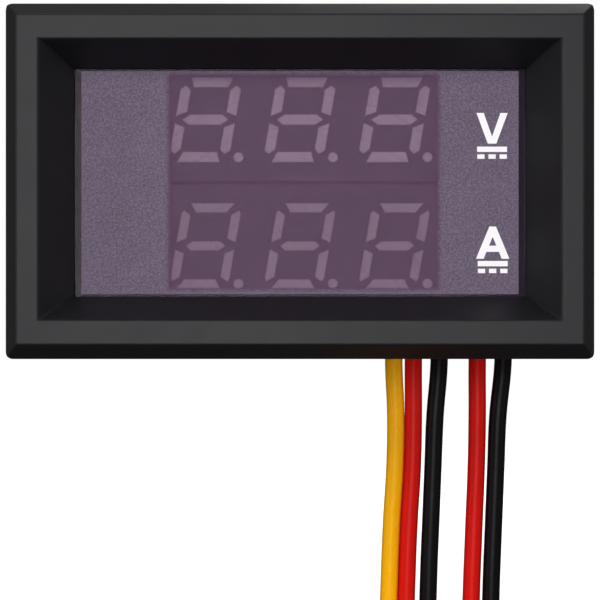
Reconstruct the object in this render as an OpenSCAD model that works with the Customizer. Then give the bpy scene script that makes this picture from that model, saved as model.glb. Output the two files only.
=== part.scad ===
// Dual panel meter: two stacked three-digit LED displays in a snap-in housing.
// +X runs to the right and +Z up as the meter is read, and +Y into the panel.
// The origin is the middle of the flange's back plane, which seats on the panel.
// All lengths are in millimetres.

/* [Housing] */
// Width of the body that goes through the panel
body_w = 45.4; // [45.4:0.1:50]
// Height of the body that goes through the panel
body_h = 26.4; // [26.4:0.1:30]
// Depth of the body behind the panel
body_d = 16; // [15:0.5:22]
// Thickness of the body's walls
wall = 1.4; // [1:0.1:1.6]
// Radius of the body's four outer corners
body_corner = 1.2; // [0.6:0.1:1.8]
// How far the bezel reaches past the body on every side
flange_reach = 1.3; // [1:0.1:3]
// How far the bezel stands out of the panel
bezel_d = 5; // [4.5:0.1:8]
// Radius of the bezel's four outer corners
bezel_corner = 0.6; // [0.3:0.1:1.2]
// Depth of the bevel round the bezel's front
bevel_d = 2.4; // [1:0.1:3.4]
// Width of that bevel at the two ends
bevel_x = 1.17; // [0.6:0.01:1.8]
// Width of that bevel at the top and bottom
bevel_z = 1.22; // [0.6:0.01:1.8]

/* [Window] */
// Width of the window opening
opening_w = 37.2; // [35:0.1:38.4]
// Height of the window opening
opening_h = 18.8; // [17:0.1:19.6]
// Width of the slopes at the two ends of the opening
slope_x = 2.43; // [1:0.01:2.8]
// Width of the slopes above and below the opening
slope_z = 1.9; // [1:0.1:2.2]
// Depth of the slopes
slope_d = 3.95; // [3:0.05:4]
// Thickness of the lip that holds the filter window in
lip_t = 0.4; // [0.3:0.05:0.6]
// Overlap of the lip and the filter window
lip_lap = 1.1; // [0.8:0.1:1.2]
// Thickness of the filter window
lens_t = 1; // [0.6:0.1:1.6]
// Clearance round the filter window
lens_fit = 0.1; // [0.05:0.05:0.2]
// Thickness of the legend film on the window's face
film_t = 0.12; // [0.08:0.02:0.2]
// Bare window left at each end of the film
film_margin_x = 0.57; // [0.2:0.01:1]
// Bare window left above and below the film
film_margin_z = 0.2; // [0.1:0.1:0.5]

/* [Snap tongues] */
// Width of a tongue
tongue_w = 10; // [7:0.5:12]
// Width of the slits beside a tongue
slit = 0.9; // [0.6:0.1:1.4]
// Distance from the flange to a tongue's free end
tongue_tip = 2.2; // [2.1:0.1:3]
// Length of a tongue from its free end to its root
tongue_l = 10.8; // [9:0.1:12]
// Width of the stepped barb on a tongue
barb_w = 8; // [5:0.5:9]
// Number of steps on a barb
barb_steps = 3; // [2:1:4]
// Length of each step
barb_step_l = 1.2; // [0.8:0.1:1.4]
// Height of each step
barb_step_h = 0.4; // [0.2:0.05:0.42]
// Length of the ramp behind the barb's crest
barb_ramp_l = 6.8; // [4:0.1:7.4]

/* [Display modules] */
// Width of one display module
module_w = 22.5; // [22.4:0.1:24]
// Height of one display module
module_h = 10.2; // [9.6:0.1:10.6]
// Depth of one display module
module_d = 6.1; // [5.5:0.1:8]
// Gap between the two modules
module_gap = 0.3; // [0.1:0.1:0.8]
// Clearance between the filter window and the modules
module_fit = 0.05; // [0.02:0.01:0.2]
// Distance between neighbouring digits
digit_pitch = 7.86; // [7.6:0.02:7.9]
// Height of a digit
digit_h = 7.15; // [6.6:0.05:7.3]
// Distance between the middles of a digit's upright segments
digit_w = 4.15; // [3.9:0.05:4.4]
// Lean of the digits, in degrees
digit_lean = 9.8; // [0:0.2:12]
// Diameter of a decimal point
point_dia = 0.88; // [0.6:0.02:1]
// Clearance round a light guide in its well
well_fit = 0.02; // [0.01:0.01:0.04]
// Depth of a light guide's face below the module's face
guide_recess = 0.05; // [0:0.01:0.1]
// Thickness of a module's base board
base_t = 1; // [0.6:0.1:1.4]
// Thickness of a module's shell round its base board
base_rim = 0.5; // [0.3:0.05:0.8]
// Diameter of a module's pins
pin_dia = 0.5; // [0.4:0.05:0.6]
// Distance between neighbouring pins of a module
pin_pitch = 2; // [1.8:0.1:2.2]
// Number of pins in each of a module's two rows
pins_in_row = 6; // [4:1:6]
// Distance from a module's edge to its row of pins
pin_edge = 1; // [0.9:0.05:1.2]

/* [Circuit board] */
// Thickness of the circuit board
board_t = 1.6; // [1:0.1:2]
// Clearance round the circuit board
board_fit = 0.15; // [0.1:0.05:0.3]
// Depth of the notches beside the snap tongues
notch_d = 1.8; // [1.4:0.1:2]
// Length of a board catch
catch_l = 3; // [2:0.5:4]
// Distance from the middle to a board catch
catch_x = 12; // [8:0.5:16]
// Reach of a board catch over the board
catch_in = 0.45; // [0.3:0.05:0.5]
// Side of the corner posts that the board rests on
post = 1.6; // [1.2:0.1:2]

/* [Trimmers] */
// Width of a trimmer's base
trimmer_w = 4; // [3.6:0.1:4.4]
// Height of a trimmer's base
trimmer_h = 4.4; // [4:0.1:4.8]
// Thickness of a trimmer's base
trimmer_t = 1.5; // [1.3:0.1:1.8]
// Diameter of a trimmer's rotor
rotor_dia = 3.2; // [2.8:0.1:3.5]
// Thickness of a trimmer's rotor
rotor_t = 0.5; // [0.4:0.05:0.7]
// Diameter of the rotor's shank
shank_dia = 1.1; // [0.9:0.05:1.3]
// Running clearance of the rotor
rotor_fit = 0.05; // [0.03:0.01:0.1]

/* [Connectors] */
// Distance between neighbouring connector ways
way_pitch = 2; // [2:0.05:2.2]
// Height of a connector
header_h = 4.4; // [4.2:0.1:4.5]
// Depth of a header on the board
header_d = 6; // [5:0.1:7]
// Thickness of a header's walls
header_wall = 0.6; // [0.5:0.05:0.65]
// Thickness of a header's floor
header_floor = 1.2; // [0.8:0.1:1.6]
// Clearance of a plug in its header
plug_fit = 0.05; // [0.03:0.01:0.1]
// Length of a plug that stands out of its header
plug_out = 2.1; // [1.8:0.1:3]
// Side of a header's square pins
post_pin = 0.5; // [0.4:0.05:0.6]
// Diameter of a lead over its insulation
lead_dia = 1.7; // [1.5:0.05:1.7]
// Diameter of a lead's conductor
wire_dia = 0.9; // [0.6:0.05:0.95]
// Clearance of a lead in its plug
lead_fit = 0.05; // [0.03:0.01:0.1]

/* [Shunt] */
// Diameter of the current shunt's rod
shunt_dia = 1.4; // [1:0.1:1.6]
// Distance between the shunt's two legs
shunt_span = 12; // [8:0.5:12]
// Height of the shunt's rod over the board
shunt_rise = 2.9; // [2.2:0.1:4]
// Radius of the shunt's two bends
shunt_bend = 2; // [1.2:0.1:2.2]

/* [Hidden] */

$fn = 32;
cut = 1; // how far a cutting shape runs past what it cuts
root = 0.2; // how deep an added shape is rooted in what carries it

// bezel and body
bezel_w = body_w + 2 * flange_reach;
bezel_h = body_h + 2 * flange_reach;
inner_w = body_w - 2 * wall;
inner_h = body_h - 2 * wall;
inner_corner = 0.5;
board_w = inner_w - 2 * board_fit;
board_h = inner_h - 2 * board_fit;

// levels along Y, from the bezel's face to the board
lens_front = slope_d + lip_t - bezel_d;
lens_back = lens_front + lens_t;
module_front = lens_back + module_fit;
board_front = module_front + module_d;
board_back = board_front + board_t;

// display modules
module_x = 0.3; // the modules sit a little right of the middle
module_shift = 0.07; // and a little above it
upper_z = module_shift + (module_h + module_gap) / 2;
lower_z = module_shift - (module_h + module_gap) / 2;
base_back = board_front - 0.1;
base_front = base_back - base_t;
die = 0.3; // side of an LED die
die_t = 0.15;
guide_end = base_front - die_t - 0.3;
pin_out = 0.9; // pin left behind the board
solder_r = 0.6;
solder_h = 0.6;
hole_fit = 0.15; // clearance of a pin or leg in its hole in the board
pin_hole = pin_dia + 2 * hole_fit;
base_hole = pin_dia + 0.1;
function pin_places() = [for (x = [0 : pins_in_row - 1], s = [-1, 1])
    [module_x + (x - (pins_in_row - 1) / 2) * pin_pitch, s * (module_h / 2 - pin_edge)]];

// places on the board's back, as [x, z]
volt_trimmer_at = [-9.5, 8.1];
amp_trimmer_at = [-9.5, 2.4];
controller_at = [module_x, upper_z];
amplifier_at = [board_w / 2 - 9.65, upper_z - 0.3];
regulator_at = [module_x - 0.9, lower_z];
diode_at = [-9.5, -4.6];
tantalum_at = [module_x + 4.8, lower_z + 0.6];
capacitor_places = concat([for (z = [-1.4, 1.4]) [module_x + 5.3, upper_z + z]],
    [for (x = [-1.3, 1.3]) [amplifier_at[0] + x, upper_z + 4.2]],
    [for (z = [lower_z, upper_z]) [module_x - 5.7, z]]);
resistor_columns = [volt_trimmer_at[0] - 7.5, volt_trimmer_at[0] - 4.7];
resistor_pitch = 2.1;
resistor_rows = [for (i = [-4 : 4]) resistor_pitch * i];
stand_off = 0.1; // gap under a package

// packages on the board, as [width, height, thickness]
controller = [6.5, 4.4, 1];
amplifier = [4.9, 3.9, 1.4];
regulator = [4.5, 2.5, 1.5];
diode = [4.3, 2.6, 2];
tantalum = [2.8, 3.5, 1.8];
chip = [1.6, 0.8];
chip_cap = 0.3; // length of a chip's end cap
resistor_t = 0.45;
ceramic_t = 0.8;

// trimmers
shank_hole = shank_dia + 2 * rotor_fit;
rivet_dia = shank_dia + 0.5;
rivet_t = 0.3;
rivet_room = rivet_t + 2 * rotor_fit + 0.1;
rotor_front = board_back + trimmer_t + rotor_fit;
rotor_slot = 0.5;
rotor_slot_d = 0.25;

// connectors
header_ends = 1.95; // from the last way to a header's end
header_gap = 0.1; // between the two headers, and from the board's right edge
header_edge = 0.45; // from the board's lower edge
power_ways = 3;
current_ways = 2;
current_x = board_w / 2 - header_gap - header_w(current_ways) / 2;
power_x = current_x - header_gap - (header_w(current_ways) + header_w(power_ways)) / 2;
connector_z = header_edge + header_h / 2 - board_h / 2;
header_back = board_back + header_d;
header_inside = board_back + header_floor;
plug_front = header_inside + plug_fit;
plug_back = header_back + plug_out;
lead_hole = lead_dia + 2 * lead_fit;
plug_shoulder = header_back + 0.1; // where a lead's insulation starts
plug_h = header_h - 2 * header_wall - 2 * plug_fit;
plug_face = 0.5; // thickness of a plug's front wall
cavity_w = 1.5;
contact = 1.4; // side of a contact's box
contact_front = plug_front + plug_face + 0.05;
contact_l = 2.5;
crimp_wall = 0.2;
post_pin_end = contact_front + contact_l - 0.3;
post_pin_fit = 0.03;
function header_w(ways) = (ways - 1) * way_pitch + 2 * header_ends;
function way_x(ways) = [for (i = [0 : ways - 1]) (i - (ways - 1) / 2) * way_pitch];

// current shunt
shunt_x = board_w / 2 - 4.65;
shunt_mid_z = 2.5;
shunt_hole = shunt_dia + 2 * 0.1;
shunt_y = board_back + shunt_rise;

// Leads: each leaves its plug, bends down behind the bezel, hangs, and goes into the hank.
// route holds [y, z] of the stations that the five leads share. The lists below it hold
// the x of one lead at each station.
route = [[14.2, -9], [19.7, -9], [23.1, -9.9], [25.6, -12.4], [26.5, -15.8], [26.5, -21],
    [26.5, -26], [26.5, -31], [26.5, -36], [26.5, -41], [26, -46], [25.2, -51.5], [24.4, -56.5]];
volt_sense_x = [9.1, 9.1, 9.1, 9.1, 9.1, 9.3, 9.2, 8.9, 8.7, 8.6, 8.8, 9.2, 9.6];
power_plus_x = [11.1, 11.1, 11.1, 11, 11, 11, 10.9, 10.6, 10.4, 10.3, 10.5, 10.9, 11.3];
power_minus_x = [13.1, 13.2, 13.3, 13.4, 13.5, 13.1, 12.9, 12.7, 12.5, 12.4, 12.5, 12.7, 13];
current_plus_x = [17.1, 17.1, 17.1, 17.2, 17.2, 17.2, 17.1, 16.9, 16.7, 16.5, 16, 15.3, 14.7];
current_minus_x = [19.1, 19.3, 19.5, 19.6, 19.7, 19.2, 19, 18.8, 18.6, 18.4, 17.8, 17.1, 16.4];

// The hank folds the leads side by side into three runs, at the y given here.
run_in_y = 24.4;
run_back_y = 22.7;
run_out_y = 21;
tie_top = -56.5;
tie_bottom = -59.5;
tail_end = -66.5;
bare_end = -71.5;
tail_spread = 0.3; // how far the outer tails lean out at their ends
fold_r = 5.1; // radius of a fold, at the leads' middle
upper_fold = [17.5, -46.4];
lower_fold = [27.9, -69.6];
tie_fit = 0.1;
tie_t = 0.9;
flare = 0.5; // how far inside the tied stretch the folds start to open
tie_w = tie_top - tie_bottom - 2 * flare;

// ---- helpers ----

// A flat outline in X and Z, as deep as from y0 to y1
module slab(y0, y1) translate([0, y1, 0]) rotate([90, 0, 0]) linear_extrude(y1 - y0) children();

// An outline in Y and Z, drawn across a width along X
module across(w) translate([-w / 2, 0, 0]) rotate([90, 0, 90]) linear_extrude(w) children();

// Turns a shape that stands along Z so that it points along Y
module along_y(y0 = 0) translate([0, y0, 0]) rotate([-90, 0, 0]) children();

// Moves a shape on the board to its place
module at(place) translate([place[0], 0, place[1]]) children();

module rounded(w, h, r) {
    square([w - 2 * r, h], center = true);
    square([w, h - 2 * r], center = true);
    for (x = [-1, 1], z = [-1, 1])
        translate([x * (w / 2 - r), z * (h / 2 - r)]) circle(r);
}

// A block whose four sides slope in towards the front, with mitred corners
module tapered(w, h, in_x, in_z, y_front, y_knee, y_back) {
    intersection() {
        linear_extrude(h + 2 * cut, center = true)
            polygon([[-w / 2, y_back], [-w / 2, y_knee], [-w / 2 + in_x, y_front],
                [w / 2 - in_x, y_front], [w / 2, y_knee], [w / 2, y_back]]);
        across(w + 2 * cut)
            polygon([[y_back + cut, -h / 2], [y_knee, -h / 2], [y_front, -h / 2 + in_z],
                [y_front, h / 2 - in_z], [y_knee, h / 2], [y_back + cut, h / 2]]);
    }
}

// A moulded package: its sides draft both ways from a ridge at half its thickness
module package(size, draft = 0.12) {
    w = size[0];
    h = size[1];
    t = size[2];
    translate([0, board_back + stand_off, 0]) intersection() {
        linear_extrude(h + 2 * cut, center = true)
            polygon([[-w / 2 + draft, 0], [w / 2 - draft, 0], [w / 2, t / 2],
                [w / 2 - draft, t], [-w / 2 + draft, t], [-w / 2, t / 2]]);
        across(w + 2 * cut)
            polygon([[0, -h / 2 + draft], [t / 2, -h / 2], [t, -h / 2 + draft],
                [t, h / 2 - draft], [t / 2, h / 2], [0, h / 2 - draft]]);
    }
}

// Gull-wing leads in a row along X, on the side that faces +Z
module gull_row(count, pitch, lead_w, size, reach, lead_t = 0.2) {
    mid = stand_off + size[2] / 2;
    start = size[1] / 2;
    for (i = [0 : count - 1])
        translate([(i - (count - 1) / 2) * pitch, board_back, 0]) across(lead_w)
            polygon([[mid + lead_t / 2, start], [mid + lead_t / 2, start + reach * 0.4],
                [lead_t, start + reach * 0.6], [lead_t, start + reach], [0, start + reach],
                [0, start + reach * 0.4], [mid - lead_t / 2, start + reach * 0.2],
                [mid - lead_t / 2, start]]);
}

// ---- housing ----

module tongue_slits() {
    half = tongue_w / 2;
    for (s = [-1, 1])
        translate([s * (body_w / 2 - wall / 2), 0, 0]) {
            for (z = [-half - slit / 2, half + slit / 2])
                translate([-wall, tongue_tip - slit, z - slit / 2])
                    cube([2 * wall, tongue_l + slit, slit]);
            translate([-wall, tongue_tip - slit, -half - slit / 2])
                cube([2 * wall, slit, tongue_w + slit]);
        }
}

module barb() {
    crest_y = tongue_tip + barb_steps * barb_step_l;
    steps = [for (i = [0 : barb_steps - 1], j = [0, 1])
        [(i + 1) * barb_step_h, tongue_tip + (i + j) * barb_step_l]];
    translate([body_w / 2, 0, 0]) linear_extrude(barb_w, center = true)
        polygon(concat([[-root, tongue_tip], [0, tongue_tip]], steps,
            [[0, crest_y + barb_ramp_l], [-root, crest_y + barb_ramp_l]]));
}

module board_catch() {
    seat = board_back + 0.05;
    translate([0, 0, inner_h / 2]) across(catch_l)
        polygon([[seat, root], [seat, -catch_in], [seat + 0.3, -catch_in],
            [seat + 1.7, 0], [seat + 1.7, root]]);
}

module housing() color([0.1, 0.1, 0.11]) {
    difference() {
        union() {
            intersection() {
                tapered(bezel_w, bezel_h, bevel_x, bevel_z, -bezel_d, bevel_d - bezel_d, 0);
                slab(-bezel_d - cut, cut) rounded(bezel_w, bezel_h, bezel_corner);
            }
            slab(-root, body_d) rounded(body_w, body_h, body_corner);
        }
        mirror([0, 1, 0])
            tapered(opening_w + 2 * slope_x, opening_h + 2 * slope_z, slope_x, slope_z,
                bezel_d - slope_d, bezel_d, bezel_d + cut);
        slab(-bezel_d + slope_d - 0.01, lens_front + 0.01)
            square([opening_w, opening_h], center = true);
        slab(lens_front, lens_back + 0.01)
            square([opening_w + 2 * lip_lap + 2 * lens_fit,
                opening_h + 2 * lip_lap + 2 * lens_fit], center = true);
        slab(lens_back, body_d + cut) rounded(inner_w, inner_h, inner_corner);
        tongue_slits();
    }
    barb();
    mirror([1, 0, 0]) barb();
    for (x = [-1, 1], z = [-1, 1])
        translate([x * (inner_w / 2 + root - post / 2), 0, z * (inner_h / 2 + root - post / 2)])
            slab(lens_back - root, board_front) square(post, center = true);
    for (x = [-catch_x, catch_x]) translate([x, 0, 0]) {
        board_catch();
        mirror([0, 0, 1]) board_catch();
    }
}

module filter_window() color([0.32, 0.24, 0.32])
    slab(lens_front, lens_back)
        square([opening_w + 2 * lip_lap, opening_h + 2 * lip_lap], center = true);

module legend_film() color([0.42, 0.33, 0.41])
    slab(lens_front - film_t, lens_front)
        square([opening_w - 2 * film_margin_x, opening_h - 2 * film_margin_z], center = true);

// ---- display modules ----

// The shape of a module's digits, as [segment thickness, half length of the end bars,
// cut of their mitres, half length of the middle bar, length of its points,
// distance that the uprights' tips lie off their middles, height of those tips]
upper_shape = [0.92, 1.81, 0.37, 1.98, 0.66, 0, 2.88];
lower_shape = [0.82, 1.86, 0.56, 1.68, 0.5, 0.25, 3];

// One digit's seven segments as outlines, upright: top, bottom, middle, four sides
function segments(shape) =
    let (t = shape[0], top = digit_h / 2, end_l = shape[1], mitre = shape[2],
        mid_l = shape[3], mid_point = shape[4], tip = digit_w / 2 + shape[5],
        tip_z = shape[6], out = (digit_w + t) / 2, in = (digit_w - t) / 2,
        bar = [[-end_l, top], [end_l, top], [end_l - mitre, top - t], [mitre - end_l, top - t]],
        side = [[in, 0.62], [out, 0.25], [out, tip_z - 0.3], [tip, tip_z], [in, tip_z - 0.42]])
    [bar, [for (p = bar) [p[0], -p[1]]],
        [[-mid_l, 0], [mid_point - mid_l, t / 2], [mid_l - mid_point, t / 2],
            [mid_l, 0], [mid_l - mid_point, -t / 2], [mid_point - mid_l, -t / 2]],
        for (sx = [-1, 1], sz = [-1, 1]) [for (p = side) [sx * p[0], sz * p[1]]]];

function leaning(outline) = [for (p = outline) [p[0] + p[1] * tan(digit_lean), p[1]]];
function middle(outline) = [for (i = [0, 1]) let (v = [for (p = outline) p[i]]) (min(v) + max(v)) / 2];
function digit_x() = [for (i = [-1 : 1]) i * digit_pitch];
point_at = [2.74, -digit_h / 2 + point_dia / 2];

// The outlines of all segments and points of one module
module lit_shapes(shape) {
    for (x = digit_x()) translate([x, 0]) {
        for (s = segments(shape)) polygon(leaning(s));
        translate(point_at) circle(d = point_dia, $fn = 24);
    }
}

module display_shell(shape, z) color([0.38, 0.28, 0.38])
    difference() {
        translate([module_x, 0, z])
            slab(module_front, board_front) square([module_w, module_h], center = true);
        translate([0, 0, z]) slab(module_front - cut, base_front + 0.01) lit_shapes(shape);
        translate([module_x, 0, z]) slab(base_front, board_front + cut)
            square([module_w - 2 * base_rim, module_h - 2 * base_rim], center = true);
    }

module display_guides(shape, z) color([0.57, 0.46, 0.55])
    translate([0, 0, z]) slab(module_front + guide_recess, guide_end)
        offset(delta = -well_fit) lit_shapes(shape);

module display_dice(shape, z) color([0.85, 0.8, 0.4])
    for (x = digit_x(), p = concat([for (s = segments(shape)) middle(leaning(s))], [point_at]))
        translate([x + p[0] - die / 2, base_front - die_t, z + p[1] - die / 2])
            cube([die, die_t, die]);

module display_base(z) color([0.85, 0.85, 0.8])
    difference() {
        translate([module_x, 0, z]) slab(base_front, base_back)
            square([module_w - 2 * base_rim - 0.1, module_h - 2 * base_rim - 0.1], center = true);
        for (p = pin_places())
            translate([p[0], 0, z + p[1]]) along_y(base_front - cut)
                cylinder(d = base_hole, h = base_t + 2 * cut);
    }

// Each pin and its cone of solder are one revolve
module display_pins(z) color([0.8, 0.8, 0.82])
    for (p = pin_places())
        translate([p[0], 0, z + p[1]]) along_y() rotate_extrude()
            polygon([[0, base_front + 0.05], [pin_dia / 2, base_front + 0.05],
                [pin_dia / 2, board_back], [solder_r, board_back],
                [pin_dia / 2, board_back + solder_h], [pin_dia / 2, board_back + pin_out],
                [0, board_back + pin_out]]);

module upper_display_shell() display_shell(upper_shape, upper_z);
module upper_display_guides() display_guides(upper_shape, upper_z);
module upper_display_dice() display_dice(upper_shape, upper_z);
module upper_display_base() display_base(upper_z);
module upper_display_pins() display_pins(upper_z);
module lower_display_shell() display_shell(lower_shape, lower_z);
module lower_display_guides() display_guides(lower_shape, lower_z);
module lower_display_dice() display_dice(lower_shape, lower_z);
module lower_display_base() display_base(lower_z);
module lower_display_pins() display_pins(lower_z);

// ---- circuit board and what it carries ----

module board_hole(x, z, dia)
    translate([x, 0, z]) along_y(board_front - cut) cylinder(d = dia, h = board_t + 2 * cut);

module circuit_board() color([0.1, 0.35, 0.2])
    difference() {
        slab(board_front, board_back)
            rounded(board_w, board_h, inner_corner);
        for (s = [-1, 1])
            translate([s * board_w / 2, 0, 0]) slab(board_front - cut, board_back + cut)
                square([2 * notch_d, tongue_w + 2 * slit + 0.6], center = true);
        for (p = pin_places(), z = [upper_z, lower_z]) board_hole(p[0], z + p[1], pin_hole);
        for (x = way_x(power_ways)) board_hole(power_x + x, connector_z, post_pin * sqrt(2) + 0.1);
        for (x = way_x(current_ways)) board_hole(current_x + x, connector_z, post_pin * sqrt(2) + 0.1);
        for (s = [-1, 1]) board_hole(shunt_x, shunt_mid_z + s * shunt_span / 2, shunt_hole);
    }

module controller_body() color([0.13, 0.13, 0.14]) at(controller_at) difference() {
    package(controller);
    translate([-controller[0] / 2 + 0.9, board_back + stand_off + controller[2] - 0.1,
        controller[1] / 2 - 1]) rotate([-90, 0, 0]) cylinder(d = 0.7, h = cut);
}

module controller_leads() color([0.78, 0.78, 0.8]) at(controller_at)
    for (s = [0, 1]) mirror([0, 0, s]) gull_row(10, 0.65, 0.24, controller, 1);

module amplifier_body() color([0.13, 0.13, 0.14]) at(amplifier_at) package(amplifier);

module amplifier_leads() color([0.78, 0.78, 0.8]) at(amplifier_at)
    for (s = [0, 1]) mirror([0, 0, s]) gull_row(4, 1.27, 0.4, amplifier, 1.05);

module regulator_body() color([0.13, 0.13, 0.14]) at(regulator_at) package(regulator);

module regulator_leads() color([0.78, 0.78, 0.8]) at(regulator_at) {
    mirror([0, 0, 1]) gull_row(3, 1.5, 0.45, regulator, 1);
    gull_row(1, 1, 1.7, regulator, 0.9);
}

// Two metal straps fold down the ends of a block package and under it
module end_straps(size, strap_w) {
    t = 0.15;
    for (s = [-1, 1])
        translate([0, board_back, 0]) across(strap_w)
            polygon([for (p = [[stand_off + size[2] / 2 + 0.1, 0], [stand_off + size[2] / 2 + 0.1, t],
                [0, t], [0, -0.9], [stand_off - 0.02, -0.9], [stand_off - 0.02, 0]])
                [p[0], s * (size[1] / 2 + p[1])]]);
}

module diode_body() color([0.12, 0.12, 0.13]) at(diode_at)
    rotate([0, 90, 0]) package([diode[1], diode[0], diode[2]], 0);

module diode_leads() color([0.78, 0.78, 0.8]) at(diode_at)
    rotate([0, 90, 0]) end_straps([diode[1], diode[0], diode[2]], diode[1] - 1.1);

module tantalum_capacitor() color([0.85, 0.6, 0.15]) at(tantalum_at) package(tantalum, 0);

module tantalum_leads() color([0.78, 0.78, 0.8]) at(tantalum_at) end_straps(tantalum, tantalum[0] - 0.6);

module chip_body(t) translate([0, board_back, 0]) slab(0, t)
    square([chip[0] - 2 * chip_cap, chip[1]], center = true);

module chip_ends(t) translate([0, board_back, 0])
    for (s = [-1, 1]) translate([s * (chip[0] - chip_cap) / 2, 0, 0]) slab(0, t)
        square([chip_cap, chip[1]], center = true);

module ceramic_capacitors() color([0.7, 0.6, 0.45])
    for (p = capacitor_places) at(p) chip_body(ceramic_t);

module chip_resistors() color([0.1, 0.1, 0.1])
    for (x = resistor_columns, z = resistor_rows) at([x, z]) chip_body(resistor_t);

module chip_end_caps() color([0.8, 0.8, 0.8]) {
    for (p = capacitor_places) at(p) chip_ends(ceramic_t);
    for (x = resistor_columns, z = resistor_rows) at([x, z]) chip_ends(resistor_t);
}

// The shunt is a bent rod, soldered at the board's front
module current_shunt() color([0.72, 0.5, 0.35])
    translate([shunt_x, 0, shunt_mid_z]) {
        rod = shunt_dia / 2;
        straight = shunt_span / 2 - shunt_bend;
        translate([0, shunt_y, -straight]) cylinder(r = rod, h = 2 * straight);
        for (s = [0, 1]) mirror([0, 0, s]) {
            translate([0, shunt_y - shunt_bend, straight]) rotate([0, -90, 0])
                rotate_extrude(angle = 90) translate([shunt_bend, 0]) circle(rod);
            translate([0, 0, shunt_span / 2]) along_y() rotate_extrude()
                polygon([[0, board_front - 0.9], [rod, board_front - 0.9],
                    [rod, board_front - 0.8], [rod + 0.5, board_front], [rod, board_front],
                    [rod, shunt_y - shunt_bend], [0, shunt_y - shunt_bend]]);
        }
    }

// ---- trimmers ----

module trimmer_base() color([0.16, 0.3, 0.6])
    difference() {
        slab(board_back, board_back + trimmer_t) square([trimmer_w, trimmer_h], center = true);
        along_y(board_back - cut) cylinder(d = shank_hole, h = trimmer_t + 2 * cut);
        along_y(board_back - cut) cylinder(d = rivet_dia + 2 * rotor_fit, h = rivet_room + cut);
    }

// A tab on one long side and two on the other
module trimmer_terminals() color([0.8, 0.8, 0.82])
    for (t = [[0, 1], [-1.1, -1], [1.1, -1]])
        translate([t[0] - 0.4, board_back, t[1] > 0 ? trimmer_h / 2 : -trimmer_h / 2 - 0.25])
            cube([0.8, 0.9, 0.25]);

// The rotor is one revolve: disc, shank and rivet head, with a cross slot
module trimmer_rotor() color([0.85, 0.72, 0.4])
    difference() {
        along_y() rotate_extrude()
            polygon([[0, board_back + rotor_fit], [rivet_dia / 2, board_back + rotor_fit],
                [rivet_dia / 2, board_back + rotor_fit + rivet_t],
                [shank_dia / 2, board_back + rotor_fit + rivet_t], [shank_dia / 2, rotor_front],
                [rotor_dia / 2, rotor_front], [rotor_dia / 2, rotor_front + rotor_t],
                [0, rotor_front + rotor_t]]);
        for (a = [0, 90]) rotate([0, a, 0])
            translate([0, rotor_front + rotor_t - rotor_slot_d + cut / 2, 0])
                cube([rotor_dia * 0.8, cut, rotor_slot], center = true);
    }

module volt_trimmer_base() at(volt_trimmer_at) trimmer_base();
module volt_trimmer_terminals() at(volt_trimmer_at) trimmer_terminals();
module volt_trimmer_rotor() at(volt_trimmer_at) trimmer_rotor();
module amp_trimmer_base() at(amp_trimmer_at) trimmer_base();
module amp_trimmer_terminals() at(amp_trimmer_at) trimmer_terminals();
module amp_trimmer_rotor() at(amp_trimmer_at) trimmer_rotor();

// ---- connectors ----

module square_hole(side, y0, y1) slab(y0, y1) square(side, center = true);

module header(ways) color([0.9, 0.89, 0.84])
    difference() {
        slab(board_back, header_back) square([header_w(ways), header_h], center = true);
        slab(header_inside, header_back + cut)
            square([header_w(ways) - 2 * header_wall, header_h - 2 * header_wall], center = true);
        for (x = way_x(ways)) translate([x, 0, 0])
            square_hole(post_pin + 2 * post_pin_fit, board_back - cut, header_inside + cut);
    }

// A square pin with the solder that fills its hole in the board
module header_pins(ways) color([0.85, 0.8, 0.6])
    for (x = way_x(ways)) translate([x, 0, 0]) {
        square_hole(post_pin, board_front, post_pin_end);
        along_y(board_front) cylinder(d = post_pin * sqrt(2) + 0.06, h = board_t);
    }

module plug(ways) color([0.93, 0.92, 0.87])
    difference() {
        union() {
            slab(plug_front, plug_back)
                square([header_w(ways) - 2 * header_wall - 2 * plug_fit, plug_h], center = true);
            slab(header_back + 0.2, plug_back - 0.4)
                square([header_w(ways) - 2 * header_wall, plug_h + 0.7], center = true);
        }
        for (x = way_x(ways)) translate([x, 0, 0]) {
            square_hole(post_pin + 0.2, plug_front - cut, plug_front + plug_face + cut);
            square_hole(cavity_w, plug_front + plug_face, plug_shoulder);
            along_y(plug_shoulder - 0.01) cylinder(d = lead_hole, h = plug_back - plug_shoulder + cut);
        }
    }

// A box that takes the pin, and a crimp that folds round the conductor
module contacts(ways) color([0.8, 0.76, 0.6])
    for (x = way_x(ways)) translate([x, 0, 0]) {
        difference() {
            slab(contact_front, contact_front + contact_l) square(contact, center = true);
            square_hole(post_pin + 2 * post_pin_fit, contact_front - cut,
                contact_front + contact_l + cut);
        }
        difference() {
            slab(contact_front + contact_l, plug_shoulder - 0.1)
                square(wire_dia + 0.04 + 2 * crimp_wall, center = true);
            square_hole(wire_dia + 0.04, contact_front + contact_l - cut, plug_shoulder + cut);
            translate([0, 0, -wire_dia]) slab(contact_front + contact_l + 0.3, plug_shoulder + cut)
                square(wire_dia + 0.04, center = true);
        }
    }

module power_header() at([power_x, connector_z]) header(power_ways);
module power_header_pins() at([power_x, connector_z]) header_pins(power_ways);
module power_plug() at([power_x, connector_z]) plug(power_ways);
module power_contacts() at([power_x, connector_z]) contacts(power_ways);
module current_header() at([current_x, connector_z]) header(current_ways);
module current_header_pins() at([current_x, connector_z]) header_pins(current_ways);
module current_plug() at([current_x, connector_z]) plug(current_ways);
module current_contacts() at([current_x, connector_z]) contacts(current_ways);

// ---- leads ----

sides = 8;
function unit(v) = v / norm(v);
function heading(p, i, first, last) =
    i == 0 ? first : i == len(p) - 1 ? last : unit(p[i + 1] - p[i - 1]);

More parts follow.
